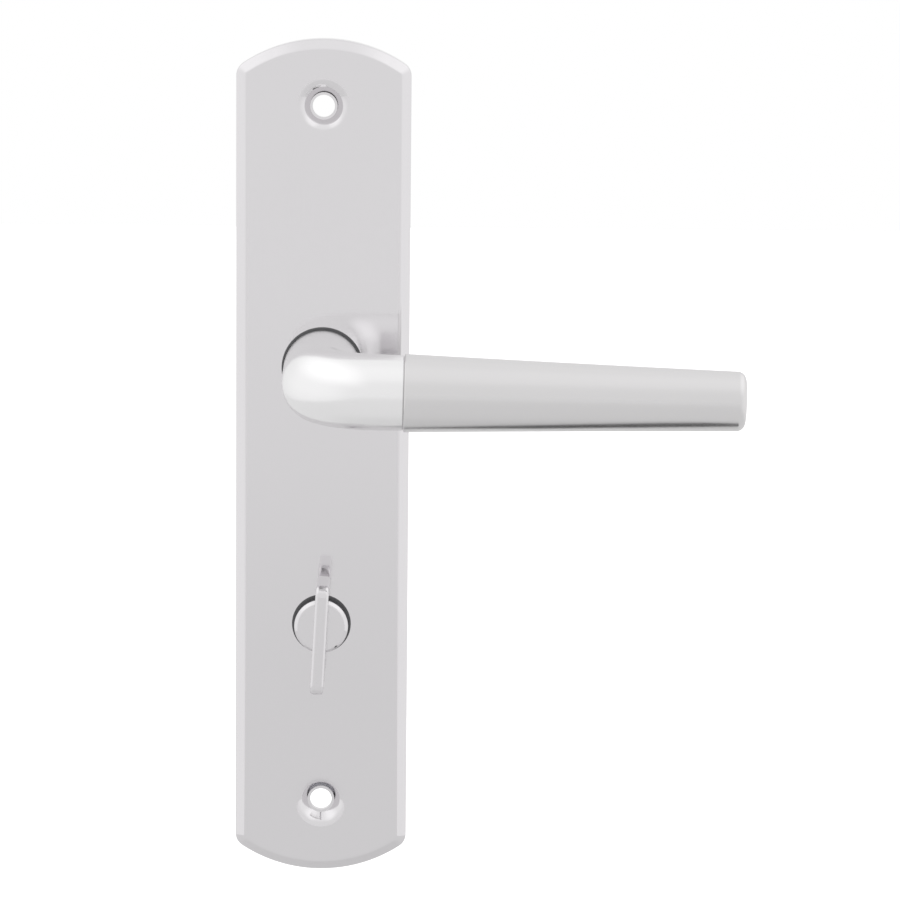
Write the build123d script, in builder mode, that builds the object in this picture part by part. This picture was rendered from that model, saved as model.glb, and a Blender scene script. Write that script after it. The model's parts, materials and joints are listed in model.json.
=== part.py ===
"""Inside half of a bathroom door handle on a long backplate: a sprung lever above a thumb-turn.

Millimetres, +Z up the plate, +X along the lever, -Y out of the door towards the hand.
The origin is where the lever's axis meets the door face. Every height below is a distance
out from the door face, and the planes made by front() lie that far along -Y.
"""

import os
from math import cos, radians, sin, sqrt

from build123d import *

os.makedirs("parts", exist_ok=True)

# Running and assembly clearances
run_gap = 0.05
seat_gap = 0.05
slip_gap = 0.3
overrun = 1.0

# Backplate: a hollow pressed shell with arched ends and a bevelled border
plate_width = 48.0
plate_depth = 8.0
plate_wall = 1.4
end_arc_radius = 40.0
corner_radius = 4.0
bevel_width = 2.7
bevel_drop = 2.1
bevel_outer_round = 1.3
bevel_inner_round = 1.8

# Screw holes, each at the bottom of a pressed dimple, and the plate's ends beyond them
screw_spacing = 195.0
screws_middle = -25.4
top_margin = 18.3
bottom_margin = 20.2
screw_hole_radius = 3.05
dimple_radius = 6.2
dimple_seat_radius = 3.75
dimple_lip_round = 0.5
screw_access_radius = 4.3

# Support plate: a steel tray that stiffens the shell and carries the works
tray_front = 3.6
tray_sheet = 1.6

# Lever axis
journal_radius = 8.0
journal_flats = 14.4
journal_end = 0.4
bush_wall = 1.6
bush_flange_radius = 11.3
bush_flange = 0.8
bush_tail = 5.9

# Lever arm
neck_radius = 10.7
neck_joint_radius = 10.0
arm_height = 54.0
elbow_radius = 16.0
arm_sag = 1.0
joint_reach = 22.5
tip_reach = 113.0
grip_root_radius = 10.4
grip_middle_height = 18.1
grip_middle_depth = 17.0
grip_tip_height = 15.8
grip_tip_depth = 13.6
grip_middle_share = 0.5
grip_tip_round = 2.2
joint_chamfer = 0.3
stud_radius = 4.0
stud_length = 26.0

# Lever spindle and its set screw
spindle_across = 8.0
spindle_seat = 32.0
spindle_reach = 55.0
spindle_chamfer = 0.6
set_screw_radius = 2.5
set_screw_length = 6.0
set_screw_height = 20.0
set_screw_socket = 2.5
set_screw_socket_depth = 2.5

# Return spring in its flat cup
cup_radius = 18.6
cup_wall = 1.1
cup_floor = 0.6
ear_radius = 2.6
ear_reach = 20.6
ear_thickness = 1.2
rivet_radius = 1.25
rivet_head_radius = 2.0
rivet_head = 0.6
driver_radius = 10.4
driver_slot_width = 1.0
driver_slot_depth = 1.6
driver_height = 2.2
spring_strip = 0.55
spring_height = 1.8
spring_turns = 3
spring_clearance = 0.35

# Stops for the lever: a lug on the stop washer runs between two tabs of the support plate
lever_travel = 45.0
stop_disc = 0.7
stop_radius = 10.6
stop_lug_reach = 14.2
stop_lug_angle = 24.0
stop_lug_centre = 90.0
stop_tab_angle = 10.0
stop_tab_inner = 11.6
stop_gap_angle = 0.6

# Retaining rings
ring_thickness = 0.7
ring_width = 2.0
ring_bite = 0.9
ring_mouth_angle = 50.0

# Thumb-turn
turn_drop = 72.0
turn_boss_radius = 7.5
turn_boss_height = 4.4
turn_boss_chamfer = 0.9
turn_lean = 3.0
wing_length = 30.5
wing_thickness = 3.6
wing_front = 33.5
wing_flare = 2.0
wing_rear_round = 4.0
wing_front_round = 3.0
wing_edge_round = 0.9
turn_shank_radius = 5.6
turn_shank_flats = 10.2
turn_bush_wall = 1.3
turn_bush_flange_radius = 8.2
turn_bush_flange = 0.5
turn_spindle_across = 6.0
turn_spindle_reach = 45.0
turn_pin_radius = 1.25
turn_pin_length = 13.0
turn_ring_bite = 0.7
turn_socket_wall = 0.6

# Detent of the thumb-turn: a square cam between the legs of a hairpin spring
cam_across = 14.0
cam_corner_radius = 9.0
cam_height = 2.0
detent_strip = 0.6
detent_leg = 15.0
detent_tab_width = 3.0
detent_tab_sheet = 1.0

# Levels worked out from the sizes above, all measured out from the door face
plate_top = screws_middle + screw_spacing / 2 + top_margin
plate_bottom = screw_spacing / 2 - screws_middle + bottom_margin
shell_floor = plate_depth - plate_wall
tray_back = tray_front - tray_sheet
bush_top = plate_depth + bush_flange
neck_shoulder = bush_top + run_gap
turn_bush_top = plate_depth + turn_bush_flange
turn_boss_bottom = turn_bush_top + run_gap
turn_boss_top = turn_boss_bottom + turn_boss_height
turn_socket_depth = turn_boss_top - turn_socket_wall
turn_pin_plane = Plane(
    origin=(0, -(turn_boss_bottom + turn_boss_height / 2), -turn_drop),
    x_dir=(1, 0, 0),
    z_dir=(0, 0, 1),
)
ring_front = tray_back - stop_disc - 2 * run_gap
ring_groove_front = ring_front + run_gap
ring_groove_back = ring_front - ring_thickness - run_gap
works_bottom = tray_front + run_gap
bush_radius = journal_radius + run_gap + bush_wall
turn_bush_radius = turn_shank_radius + run_gap + turn_bush_wall

# The lug hangs straight up at rest and turns clockwise, as the hand sees it, with the lever
stop_reach_angle = (stop_lug_angle + stop_tab_angle) / 2 + stop_gap_angle
rest_tab_centre = stop_lug_centre + stop_reach_angle
down_tab_centre = stop_lug_centre - lever_travel - stop_reach_angle

# The detent spring's legs lie along the cam's flats, and two tabs hold them near the bend
leg_offset = cam_across / 2 + run_gap + detent_strip / 2
detent_tab_side = leg_offset + detent_strip / 2 + seat_gap + detent_tab_sheet / 2
detent_tab_rise = detent_tab_width / 2 - detent_leg
detent_tab_places = [(-detent_tab_side, detent_tab_rise), (detent_tab_side, detent_tab_rise)]

# Directions of the sagging arm
sag_cos = cos(radians(arm_sag))
sag_sin = sin(radians(arm_sag))
arm_plane = Plane(origin=(0, 0, 0), x_dir=(sag_cos, 0, -sag_sin), z_dir=(-sag_sin, 0, -sag_cos))


def arm_section(reach, height=arm_height):
    """Plane square to the arm, at a reach along it from the lever's axis."""
    return Plane(
        origin=(reach * sag_cos, -height, -reach * sag_sin),
        x_dir=(0, -1, 0),
        z_dir=(sag_cos, 0, -sag_sin),
    )


def front(height, drop=0):
    """Plane facing the hand, at a height out from the door and a drop below the lever's axis."""
    return Plane(origin=(0, -height, -drop), x_dir=(1, 0, 0), z_dir=(0, -1, 0))


def plate_outline(inset):
    """Backplate outline, drawn in by an inset: straight sides, arched ends, rounded corners."""
    half = plate_width / 2 - inset
    arc = end_arc_radius - inset
    rise = arc - sqrt(arc**2 - half**2)
    top = plate_top - inset
    bottom = plate_bottom - inset
    with BuildSketch() as outline:
        with BuildLine():
            Line((half, -bottom + rise), (half, top - rise))
            ThreePointArc((half, top - rise), (0, top), (-half, top - rise))
            Line((-half, top - rise), (-half, -bottom + rise))
            ThreePointArc((-half, -bottom + rise), (0, -bottom), (half, -bottom + rise))
        make_face()
        fillet(outline.vertices(), corner_radius - min(inset, corner_radius / 2))
    return outline.sketch


def square_with_flats(radius, across):
    """A round bar's section with two flats, as the drivers and washers are keyed."""
    with BuildSketch() as section:
        Circle(radius)
        Rectangle(across, 2 * radius, mode=Mode.INTERSECT)
    return section.sketch


def retaining_ring(groove_radius, level, drop=0):
    """Open spring ring that snaps into a shaft's groove."""
    with BuildPart() as ring:
        with BuildSketch(front(level - ring_thickness, drop)):
            Circle(groove_radius + ring_width)
            Circle(groove_radius + run_gap, mode=Mode.SUBTRACT)
            with BuildLine():
                mouth = 2 * (groove_radius + ring_width)
                half_mouth = radians(ring_mouth_angle / 2)
                Polyline(
                    (0, 0),
                    (mouth * sin(half_mouth), -mouth * cos(half_mouth)),
                    (-mouth * sin(half_mouth), -mouth * cos(half_mouth)),
                    close=True,
                )
            make_face(mode=Mode.SUBTRACT)
        extrude(amount=ring_thickness)
    return ring.part


def flanged_bush(bore, wall, flange_radius, flange, tail, drop=0):
    """Plastic bearing bush: a thin flange on the plate and a sleeve through it."""
    with BuildPart() as bush:
        with BuildSketch(front(plate_depth, drop)):
            Circle(flange_radius)
        extrude(amount=flange)
        fillet(bush.faces().sort_by(Axis.Y)[0].edges(), flange / 2)
        with BuildSketch(front(tail, drop)):
            Circle(bore + wall)
        extrude(amount=plate_depth - tail)
        with BuildSketch(front(tail, drop)):
            Circle(bore)
        extrude(amount=plate_depth + flange - tail, mode=Mode.SUBTRACT)
    return bush.part


def angle_sector(inner, outer, centre_angle, width_angle):
    """Ring sector used for the stop tabs and the stop lug."""
    half = width_angle / 2
    start = centre_angle - half
    with BuildSketch() as sector:
        with BuildLine():
            outer_arc = CenterArc((0, 0), outer, start, width_angle)
            inner_arc = CenterArc((0, 0), inner, start, width_angle)
            Line(outer_arc @ 0, inner_arc @ 0)
            Line(outer_arc @ 1, inner_arc @ 1)
        make_face()
    return sector.sketch


screw_places = [
    (0, screws_middle + screw_spacing / 2),
    (0, screws_middle - screw_spacing / 2),
]

# Backplate
with BuildPart() as backplate:
    with BuildSketch(front(0)):
        add(plate_outline(0))
    extrude(amount=plate_depth)
    panel = backplate.faces().sort_by(Axis.Y)[0]
    chamfer(panel.edges(), bevel_width, bevel_drop, reference=panel)
    fillet(backplate.faces().sort_by(Axis.Y)[0].edges(), bevel_inner_round)
    bevel_foot = backplate.edges().filter_by_position(
        Axis.Y, bevel_drop - plate_depth - seat_gap, bevel_drop - plate_depth + seat_gap
    )
    fillet(bevel_foot, bevel_outer_round)
    # The hollow follows the outline one wall in, and steps in behind the bevel
    with BuildSketch(front(0)):
        add(plate_outline(plate_wall))
    extrude(amount=plate_depth - bevel_drop - plate_wall / 2, mode=Mode.SUBTRACT)
    with BuildSketch(front(0)):
        add(plate_outline(plate_wall + bevel_width))
    extrude(amount=shell_floor, mode=Mode.SUBTRACT)
    # Pressed dimples: the wall turns in as a cone and ends on the support plate
    for place in screw_places:
        with BuildSketch(front(tray_front)):
            with Locations(place):
                Circle(dimple_radius + plate_wall / 2)
        extrude(amount=shell_floor - tray_front)
        with BuildSketch(front(plate_depth)):
            with Locations(place):
                Circle(dimple_radius)
        with BuildSketch(front(plate_depth - dimple_radius + dimple_seat_radius)):
            with Locations(place):
                Circle(dimple_seat_radius)
        loft(mode=Mode.SUBTRACT)
        lips = backplate.faces().sort_by(Axis.Y)[0].edges().filter_by(GeomType.CIRCLE)
        fillet(lips.filter_by(lambda edge: edge.radius < dimple_radius + seat_gap), dimple_lip_round)
        with BuildSketch(front(0)):
            with Locations(place):
                Circle(screw_hole_radius)
        extrude(amount=plate_depth, mode=Mode.SUBTRACT)
    # Holes for the two bushes
    with BuildSketch(front(0)):
        Circle(bush_radius + seat_gap)
    extrude(amount=plate_depth + overrun, mode=Mode.SUBTRACT)
    with BuildSketch(front(0, turn_drop)):
        Circle(turn_bush_radius + seat_gap)
    extrude(amount=plate_depth + overrun, mode=Mode.SUBTRACT)
backplate.part.label = "backplate"
export_step(backplate.part, "parts/backplate.step")

# Support plate
with BuildPart() as support_plate:
    with BuildSketch(front(0)):
        add(plate_outline(plate_wall + slip_gap))
    extrude(amount=tray_front)
    with BuildSketch(front(0)):
        add(plate_outline(plate_wall + slip_gap + tray_sheet))
    extrude(amount=tray_back, mode=Mode.SUBTRACT)
    for place in screw_places:
        with BuildSketch(front(0)):
            with Locations(place):
                Circle(screw_access_radius)
        extrude(amount=tray_front, mode=Mode.SUBTRACT)
    with BuildSketch(front(0)):
        Circle(journal_radius + run_gap)
    extrude(amount=tray_front, mode=Mode.SUBTRACT)
    with BuildSketch(front(0, turn_drop)):
        Circle(turn_shank_radius + run_gap)
    extrude(amount=tray_front, mode=Mode.SUBTRACT)
    # Rivet holes for the spring cup
    with BuildSketch(front(0)):
        with Locations((0, ear_reach), (0, -ear_reach)):
            Circle(rivet_radius + seat_gap)
    extrude(amount=tray_front, mode=Mode.SUBTRACT)
    # Two tabs bent back from the sheet stop the lever at rest and fully down
    with BuildSketch(front(ring_front)):
        add(angle_sector(stop_tab_inner, stop_lug_reach, rest_tab_centre, stop_tab_angle))
        add(angle_sector(stop_tab_inner, stop_lug_reach, down_tab_centre, stop_tab_angle))
    extrude(amount=tray_back - ring_front)
    # Two tabs bent forward hold the detent spring's legs from outside
    with BuildSketch(front(tray_front, turn_drop)):
        with Locations(*detent_tab_places):
            Rectangle(detent_tab_sheet, detent_tab_width)
    extrude(amount=cam_height)
support_plate.part.label = "support_plate"
export_step(support_plate.part, "parts/support_plate.step")

# Bearing bushes
with BuildPart() as lever_bush:
    add(flanged_bush(journal_radius + run_gap, bush_wall, bush_flange_radius, bush_flange, bush_tail))
lever_bush.part.label = "lever_bush"
export_step(lever_bush.part, "parts/lever_bush.step")

with BuildPart() as turn_bush:
    add(
        flanged_bush(
            turn_shank_radius + run_gap,
            turn_bush_wall,
            turn_bush_flange_radius,
            turn_bush_flange,
            bush_tail,
            turn_drop,
        )
    )
turn_bush.part.label = "turn_bush"
export_step(turn_bush.part, "parts/turn_bush.step")

# Spring cup: its floor lies behind the shell's front wall and its two ears are riveted to the tray
with BuildPart() as spring_cup:
    with BuildSketch(front(tray_front)):
        Circle(cup_radius)
    extrude(amount=shell_floor - tray_front)
    with BuildSketch(front(tray_front)):
        SlotCenterToCenter(2 * ear_reach, 2 * ear_radius, rotation=90)
    extrude(amount=ear_thickness)
    with BuildSketch(front(tray_front)):
        Circle(cup_radius - cup_wall)
    extrude(amount=shell_floor - tray_front - cup_floor, mode=Mode.SUBTRACT)
    with BuildSketch(front(tray_front)):
        Circle(bush_radius + seat_gap)
        with Locations((0, ear_reach), (0, -ear_reach)):
            Circle(rivet_radius + seat_gap)
    extrude(amount=plate_depth, mode=Mode.SUBTRACT)
    # Slot in the wall that takes the spring's outer hook
    with BuildSketch(front(tray_front)):
        with Locations((cup_radius - cup_wall / 2, 0)):
            Rectangle(cup_wall + overrun, 2 * spring_strip)
    extrude(amount=driver_height, mode=Mode.SUBTRACT)
spring_cup.part.label = "spring_cup"
export_step(spring_cup.part, "parts/spring_cup.step")

with BuildPart() as cup_rivets:
    for rise in (ear_reach, -ear_reach):
        with BuildSketch(front(tray_back - rivet_head, -rise)):
            Circle(rivet_head_radius)
        extrude(amount=rivet_head)
        with BuildSketch(front(tray_back, -rise)):
            Circle(rivet_radius)
        extrude(amount=tray_sheet + ear_thickness)
        with BuildSketch(front(tray_front + ear_thickness, -rise)):
            Circle(rivet_head_radius)
        extrude(amount=rivet_head)
    chamfer(cup_rivets.edges().filter_by(GeomType.CIRCLE).group_by(SortBy.RADIUS)[-1], rivet_head / 3)
cup_rivets.part.label = "cup_rivets"
export_step(cup_rivets.part, "parts/cup_rivets.step")

# Return spring: a flat spiral strip from the driver's slot to the cup's slot, in half turns
spring_inner = driver_radius + spring_clearance + spring_strip / 2
spring_outer = cup_radius - cup_wall - spring_clearance - spring_strip / 2
spring_step = (spring_outer - spring_inner) / (2 * spring_turns)
with BuildPart() as return_spring:
    with BuildSketch(front(works_bottom + (driver_height - spring_height) / 2)):
        with BuildLine():
            for half_turn in range(2 * spring_turns):
                side = -1 if half_turn % 2 else 1
                arc_radius = spring_inner + spring_step * (half_turn + 1 / 2)
                arc_centre = -side * spring_step / 2
                CenterArc((arc_centre, 0), arc_radius, 90 - 90 * side, 180)
            outer_end = spring_inner + 2 * spring_turns * spring_step
            Line((outer_end, 0), (cup_radius - cup_wall / 2, 0))
            Line((spring_inner, 0), (driver_radius - driver_slot_depth / 2, 0))
        trace(line_width=spring_strip)
    extrude(amount=spring_height)
return_spring.part.label = "return_spring"
export_step(return_spring.part, "parts/return_spring.step")

# Detent spring: a hairpin whose legs lie along the cam's flats
with BuildPart() as detent_spring:
    with BuildSketch(front(works_bottom, turn_drop)):
        with BuildLine():
            Line((-leg_offset, detent_leg), (-leg_offset, -detent_leg))
            ThreePointArc(
                (-leg_offset, -detent_leg), (0, -detent_leg - leg_offset), (leg_offset, -detent_leg)
            )
            Line((leg_offset, -detent_leg), (leg_offset, detent_leg))
        trace(line_width=detent_strip)
    extrude(amount=cam_height - run_gap)
detent_spring.part.label = "detent_spring"
export_step(detent_spring.part, "parts/detent_spring.step")

# Lever neck: a journal through the bush, then a polished elbow that thins towards the joint
with BuildPart() as lever_neck:
    with BuildSketch(front(neck_shoulder).rotated((0, 0, 180))):
        Circle(neck_radius)
    with BuildSketch(arm_section(joint_reach)):
        Circle(neck_joint_radius)
    with BuildLine(arm_plane) as elbow_path:
        rise_line = Line((0, neck_shoulder), (0, arm_height - elbow_radius))
        bend = TangentArc(rise_line @ 1, (elbow_radius, arm_height), tangent=(0, 1))
        Line(bend @ 1, (joint_reach, arm_height))
    sweep(path=elbow_path.line, multisection=True)
    chamfer(lever_neck.faces().sort_by(Axis.X)[-1].edges(), joint_chamfer)
    # Journal
    with BuildSketch(front(journal_end)):
        Circle(journal_radius)
    extrude(amount=neck_shoulder - journal_end)
    # Flats that drive the spring's hub and the stop washer
    with BuildSketch(front(0)):
        Circle(journal_radius + overrun)
        Rectangle(journal_flats, 2 * (journal_radius + overrun), mode=Mode.SUBTRACT)
    extrude(amount=works_bottom + driver_height, mode=Mode.SUBTRACT)
    # Groove for the retaining ring
    with BuildSketch(front(ring_groove_back)):
        Circle(journal_radius + overrun)
        Circle(journal_radius - ring_bite, mode=Mode.SUBTRACT)
    extrude(amount=ring_groove_front - ring_groove_back, mode=Mode.SUBTRACT)
    # Square socket for the spindle
    with BuildSketch(front(0)):
        Rectangle(spindle_across + 2 * run_gap, spindle_across + 2 * run_gap)
    extrude(amount=spindle_seat + run_gap, mode=Mode.SUBTRACT)
    # Set screw's hole, from below into the socket
    with BuildSketch(Plane(origin=(0, -set_screw_height, 0), x_dir=(1, 0, 0), z_dir=(0, 0, -1))):
        Circle(set_screw_radius + run_gap)
    extrude(amount=neck_radius + overrun, mode=Mode.SUBTRACT)
    # Socket for the stud that carries the grip
    with BuildSketch(arm_section(joint_reach)):
        Circle(stud_radius + run_gap)
    extrude(amount=-stud_length / 2 - run_gap, mode=Mode.SUBTRACT)
lever_neck.part.label = "lever_neck"
export_step(lever_neck.part, "parts/lever_neck.step")

# Lever grip: round at the joint, flattening to an oval at the tip
with BuildPart() as lever_grip:
    middle_reach = joint_reach + grip_middle_share * (tip_reach - joint_reach)
    with BuildSketch(arm_section(joint_reach + seat_gap)):
        Circle(grip_root_radius)
    with BuildSketch(arm_section(middle_reach)):
        Ellipse(grip_middle_depth / 2, grip_middle_height / 2)
    with BuildSketch(arm_section(tip_reach)):
        Ellipse(grip_tip_depth / 2, grip_tip_height / 2)
    loft()
    fillet(lever_grip.faces().sort_by(Axis.X)[-1].edges(), grip_tip_round)
    chamfer(lever_grip.faces().sort_by(Axis.X)[0].edges(), joint_chamfer)
    with BuildSketch(arm_section(joint_reach)):
        Circle(stud_radius + run_gap)
    extrude(amount=stud_length / 2 + run_gap, mode=Mode.SUBTRACT)
lever_grip.part.label = "lever_grip"
export_step(lever_grip.part, "parts/lever_grip.step")

with BuildPart() as grip_stud:
    with BuildSketch(arm_section(joint_reach - stud_length / 2)):
        Circle(stud_radius)
    extrude(amount=stud_length)
    chamfer(grip_stud.edges().filter_by(GeomType.CIRCLE), joint_chamfer)
grip_stud.part.label = "grip_stud"
export_step(grip_stud.part, "parts/grip_stud.step")

with BuildPart() as lever_spindle:
    with BuildSketch(front(-spindle_reach)):
        Rectangle(spindle_across, spindle_across)
    extrude(amount=spindle_reach + spindle_seat)
    ends = lever_spindle.faces().filter_by(Axis.Y).edges()
    chamfer(ends, spindle_chamfer)
lever_spindle.part.label = "lever_spindle"
export_step(lever_spindle.part, "parts/lever_spindle.step")

with BuildPart() as set_screw:
    with BuildSketch(
        Plane(
            origin=(0, -set_screw_height, -spindle_across / 2 - seat_gap),
            x_dir=(1, 0, 0),
            z_dir=(0, 0, -1),
        )
    ):
        Circle(set_screw_radius)
    extrude(amount=set_screw_length)
    chamfer(set_screw.edges().filter_by(GeomType.CIRCLE), joint_chamfer)
    with BuildSketch(set_screw.faces().sort_by(Axis.Z)[0]):
        RegularPolygon(set_screw_socket / 2, 6)
    extrude(amount=-set_screw_socket_depth, mode=Mode.SUBTRACT)
set_screw.part.label = "set_screw"
export_step(set_screw.part, "parts/set_screw.step")

# Driver: the spring's hub, keyed to the journal, with a slot for the spring's inner hook
with BuildPart() as spring_driver:
    with BuildSketch(front(works_bottom)):
        Circle(driver_radius)
        add(
            square_with_flats(journal_radius + run_gap, journal_flats + 2 * run_gap),
            mode=Mode.SUBTRACT,
        )
        with Locations((driver_radius, 0)):
            Rectangle(2 * driver_slot_depth, driver_slot_width, mode=Mode.SUBTRACT)
    extrude(amount=driver_height)
spring_driver.part.label = "spring_driver"
export_step(spring_driver.part, "parts/spring_driver.step")

# Stop washer behind the support plate, with the lug that the tabs catch
with BuildPart() as stop_washer:
    with BuildSketch(front(ring_groove_front)):
        Circle(stop_radius)
        add(angle_sector(journal_radius + overrun, stop_lug_reach, stop_lug_centre, stop_lug_angle))
        add(
            square_with_flats(journal_radius + run_gap, journal_flats + 2 * run_gap),
            mode=Mode.SUBTRACT,
        )
    extrude(amount=stop_disc)
stop_washer.part.label = "stop_washer"
export_step(stop_washer.part, "parts/stop_washer.step")

with BuildPart() as lever_ring:
    add(retaining_ring(journal_radius - ring_bite, ring_front))
lever_ring.part.label = "lever_ring"
export_step(lever_ring.part, "parts/lever_ring.step")

# Turn knob: a thin wing on a round boss with a bevelled rim, and a keyed shank behind the boss
with BuildPart() as turn_knob:
    # Wing, drawn in its side view and leaning a little, as the photographed one does
    wing_plane = Plane(
        origin=(0, 0, -turn_drop),
        x_dir=(sin(radians(turn_lean)), 0, cos(radians(turn_lean))),
        z_dir=(cos(radians(turn_lean)), 0, -sin(radians(turn_lean))),
    )
    with BuildSketch(wing_plane) as wing_side:
        with BuildLine():
            root_half = turn_boss_radius - turn_boss_chamfer
            root_height = turn_boss_bottom + turn_boss_height / 2
            rear_height = turn_boss_top + wing_flare
            Polyline(
                (root_half, root_height),
                (wing_length / 2, rear_height),
                (wing_length / 2, wing_front),
                (-wing_length / 2, wing_front),
                (-wing_length / 2, rear_height),
                (-root_half, root_height),
                close=True,
            )
        make_face()
        fillet(wing_side.vertices().group_by(Axis.Y)[-1], wing_front_round)
        fillet(wing_side.vertices().group_by(Axis.Y)[1], wing_rear_round)
    extrude(amount=wing_thickness / 2, both=True)
    fillet(turn_knob.faces().filter_by(wing_plane).edges(), wing_edge_round)
    # Boss
    with BuildSketch(front(turn_boss_bottom, turn_drop)):
        Circle(turn_boss_radius)
    extrude(amount=turn_boss_height)
    rim = turn_knob.edges().filter_by(GeomType.CIRCLE).filter_by(
        lambda edge: abs(edge.radius - turn_boss_radius) < seat_gap
    )
    chamfer(rim.sort_by(Axis.Y)[0], turn_boss_chamfer)
    # Shank through the plate, with flats for the cam and washer and a groove for the ring
    with BuildSketch(front(journal_end, turn_drop)):
        Circle(turn_shank_radius)
    extrude(amount=turn_boss_bottom - journal_end)
    with BuildSketch(front(0, turn_drop)):
        Circle(turn_shank_radius + overrun)
        Rectangle(turn_shank_flats, 2 * (turn_shank_radius + overrun), mode=Mode.SUBTRACT)
    extrude(amount=works_bottom + cam_height, mode=Mode.SUBTRACT)
    with BuildSketch(front(ring_groove_back, turn_drop)):
        Circle(turn_shank_radius + overrun)
        Circle(turn_shank_radius - turn_ring_bite, mode=Mode.SUBTRACT)
    extrude(amount=ring_groove_front - ring_groove_back, mode=Mode.SUBTRACT)
    # Square socket for the spindle, and the cross hole for its pin
    with BuildSketch(front(0, turn_drop)):
        Rectangle(turn_spindle_across + 2 * run_gap, turn_spindle_across + 2 * run_gap)
    extrude(amount=turn_socket_depth + run_gap, mode=Mode.SUBTRACT)
    with BuildSketch(turn_pin_plane):
        Circle(turn_pin_radius + run_gap)
    extrude(amount=turn_boss_radius + overrun, both=True, mode=Mode.SUBTRACT)
turn_knob.part.label = "turn_knob"
export_step(turn_knob.part, "parts/turn_knob.step")

# Cam of the thumb-turn: square with rounded corners, keyed to the shank
with BuildPart() as turn_cam:
    with BuildSketch(front(works_bottom, turn_drop)):
        Circle(cam_corner_radius)
        Rectangle(cam_across, cam_across, mode=Mode.INTERSECT)
        add(
            square_with_flats(turn_shank_radius + run_gap, turn_shank_flats + 2 * run_gap),
            mode=Mode.SUBTRACT,
        )
    extrude(amount=cam_height - run_gap)
turn_cam.part.label = "turn_cam"
export_step(turn_cam.part, "parts/turn_cam.step")

with BuildPart() as turn_spindle:
    with BuildSketch(front(-turn_spindle_reach, turn_drop)):
        Rectangle(turn_spindle_across, turn_spindle_across)
    extrude(amount=turn_spindle_reach + turn_socket_depth)
    chamfer(turn_spindle.faces().filter_by(Axis.Y).edges(), spindle_chamfer)
    with BuildSketch(turn_pin_plane):
        Circle(turn_pin_radius + run_gap)
    extrude(amount=turn_pin_length, both=True, mode=Mode.SUBTRACT)
turn_spindle.part.label = "turn_spindle"
export_step(turn_spindle.part, "parts/turn_spindle.step")

with BuildPart() as turn_pin:
    with BuildSketch(turn_pin_plane):
        Circle(turn_pin_radius)
    extrude(amount=turn_pin_length / 2, both=True)
    chamfer(turn_pin.edges().filter_by(GeomType.CIRCLE), joint_chamfer)
turn_pin.part.label = "turn_pin"
export_step(turn_pin.part, "parts/turn_pin.step")

with BuildPart() as turn_washer:
    with BuildSketch(front(ring_groove_front, turn_drop)):
        Circle(turn_shank_radius + ring_width + run_gap)
        add(
            square_with_flats(turn_shank_radius + run_gap, turn_shank_flats + 2 * run_gap),
            mode=Mode.SUBTRACT,
        )
    extrude(amount=stop_disc)
turn_washer.part.label = "turn_washer"
export_step(turn_washer.part, "parts/turn_washer.step")

with BuildPart() as turn_ring:
    add(retaining_ring(turn_shank_radius - turn_ring_bite, ring_front, turn_drop))
turn_ring.part.label = "turn_ring"
export_step(turn_ring.part, "parts/turn_ring.step")
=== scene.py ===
"""Looks of a bathroom door handle: an arched satin plate, a lever with a polished elbow, and a thumb-turn.

Metres, +Z up the plate, +X along the lever, -Y out of the door towards the hand. The origin is
where the lever's axis meets the door face. A height is a distance out from the door face.
"""

import json
from math import asin, atan2, cos, pi, radians, sin, tan

import bmesh
import bpy
from bpy.props import FloatProperty, FloatVectorProperty, IntProperty, PointerProperty
from bpy.types import Operator, Panel, PropertyGroup
from mathutils import Matrix, Vector


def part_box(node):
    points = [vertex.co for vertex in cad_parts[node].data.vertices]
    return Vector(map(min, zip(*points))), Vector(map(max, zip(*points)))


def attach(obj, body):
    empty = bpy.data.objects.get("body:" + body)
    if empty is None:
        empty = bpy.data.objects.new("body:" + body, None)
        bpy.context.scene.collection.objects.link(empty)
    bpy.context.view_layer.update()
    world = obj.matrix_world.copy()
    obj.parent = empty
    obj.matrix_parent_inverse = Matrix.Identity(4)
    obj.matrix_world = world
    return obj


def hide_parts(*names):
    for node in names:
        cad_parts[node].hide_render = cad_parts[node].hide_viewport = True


bl_info = {
    "name": "Bathroom door handle",
    "version": (1, 0, 0),
    "blender": (4, 5, 0),
    "location": "View3D > Sidebar > Handle",
    "description": "Builds and dresses a bathroom door handle with a thumb-turn on its long backplate",
    "category": "Add Mesh",
}

MM = 0.001

# Steps of the roundings, bends and arcs, and the sides of a drilled hole
ROUND_STEPS = 6
EDGE_STEPS = 3
CORNER_STEPS = 8
END_ARC_STEPS = 40
FOOT_STEPS = 6
BEND_STEPS = 36
GRIP_STEPS = 24
TIP_STEPS = 10
WING_CORNER_STEPS = 10
WING_EDGE_STEPS = 5
DRILL_SIDES = 48

# Points nearer than this are merged, heights nearer than this are level, and edges bent more stay sharp
MERGE_WITHIN = 0.0001 * MM
LEVEL_WITHIN = 0.01 * MM
SHARP_ANGLE = radians(32)
# How far a cutter stands past the metal, as a share of its radius
CUT_PAST = 0.25

# Middle of the noise's values, and the roughness of floor and card
NOISE_MIDDLE = 0.5
MATT = 0.9
# Painted shade on the floor, darkest under the handle where its shadow falls: shares of the way from under
# the handle to the floor's front edge, and the floor's grey there
FLOOR_PAINTED_SHADE = ((0.02, 0.7), (0.06, 0.76), (0.3, 0.772), (0.5, 0.818), (0.8, 0.862))
# Slant past which the dark card is clear
CARD_SLANT = 0.15
# Where each part of the studio's light sets in and where it is full, on a sphere of radius 1
SKY_LOWER = (-1, 0)
SKY_UPPER = (0.4, 1)
SKY_ASIDE = (0.45, 1)
SKY_CORNER_ACROSS = (0.15, 0.55)
SKY_CORNER_UP = (0.2, 0.7)
# Camera's sensor in millimetres, and how near and far it sees in metres
SENSOR_WIDTH = 36
CLIP_NEAR, CLIP_FAR = 0.01, 20

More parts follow.
